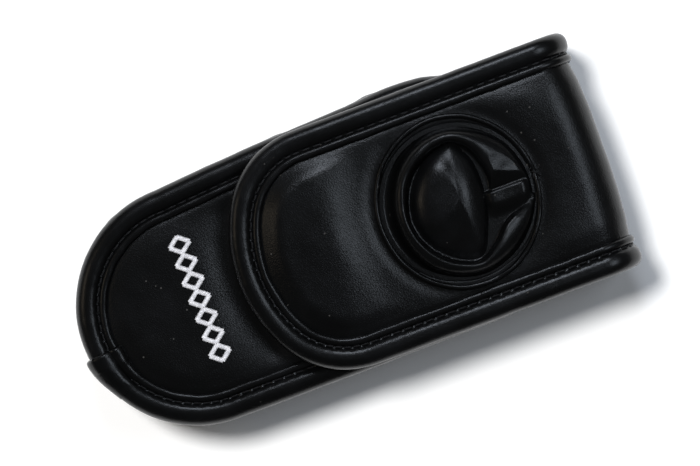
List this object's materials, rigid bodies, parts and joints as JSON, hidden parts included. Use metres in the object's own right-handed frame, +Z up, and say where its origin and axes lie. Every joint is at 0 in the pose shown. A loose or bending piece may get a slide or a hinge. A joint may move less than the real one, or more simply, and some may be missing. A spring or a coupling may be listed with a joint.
{
  "type": "dermatoscope pouch",
  "caption": "Padded leatherette belt pouch for a pocket dermatoscope, with a bound fold-over flap, a sewn lens cup that pops up, a lined pocket and a belt loop.",
  "frame": {"origin": "below the middle of the pouch, on the flat underside of the belt loop that it rests on", "axes": "+Z up through the front face and the lens cup, +Y along the pouch towards the fold of the flap, +X across it"},
  "size_m": [0.0731, 0.1598, 0.044],
  "materials": {
    "leatherette": "black grained leatherette with a satin sheen",
    "soft_leatherette": "thin soft black leatherette with a satin sheen",
    "binding_tape": "black leatherette tape, stitched",
    "lining_cloth": "fine black woven lining",
    "foam": "dark grey foam padding",
    "stiffener_board": "plain pressed board",
    "hook_tape": "black moulded hooks",
    "loop_pile": "black brushed loops"
  },
  "bodies": {
    "pouch": {"belt_loop": "leatherette", "back_panel_outer": "leatherette", "back_stiffener_board": "stiffener_board", "back_foam": "foam", "back_lining": "lining_cloth", "side_gusset": "leatherette", "gusset_lining": "lining_cloth", "front_panel_outer": "leatherette", "front_foam": "foam", "front_lining": "lining_cloth", "front_edge_binding": "binding_tape", "back_edge_binding": "binding_tape", "binding_tail": "binding_tape", "mouth_rim_binding": "binding_tape", "gusset_hem_right": "binding_tape", "gusset_hem_left": "binding_tape", "loop_patch": "loop_pile"},
    "flap_end": {"end_wall_outer": "leatherette", "end_wall_foam": "foam", "end_wall_lining": "lining_cloth", "end_wall_binding_right": "binding_tape", "end_wall_binding_left": "binding_tape"},
    "flap": {"flap_outer": "leatherette", "flap_foam": "foam", "flap_lining": "lining_cloth", "flap_edge_binding": "binding_tape", "hook_patch": "hook_tape", "cup_welt": "binding_tape", "cup_wall": "soft_leatherette", "cup_gore": "soft_leatherette"},
    "cup_crown": {"cup_crown_cover": "soft_leatherette", "cup_crown_pad": "foam"}
  },
  "joints": [
    {"name": "flap_back_fold", "type": "hinge", "parent": "pouch", "child": "flap_end", "pos_m": [0, 0.07681, 0.00859], "axis": [-1, 0, 0], "range_deg": [0, 90]},
    {"name": "flap_front_fold", "type": "hinge", "parent": "flap_end", "child": "flap", "pos_m": [0, 0.07681, 0.03771], "axis": [-1, 0, 0], "range_deg": [0, 90]},
    {"name": "cup_pop", "type": "slide", "parent": "flap", "child": "cup_crown", "axis": [0, 0, 1], "range_m": [0, 0.006], "deforming": ["cup_wall", "cup_gore"]}
  ]
}
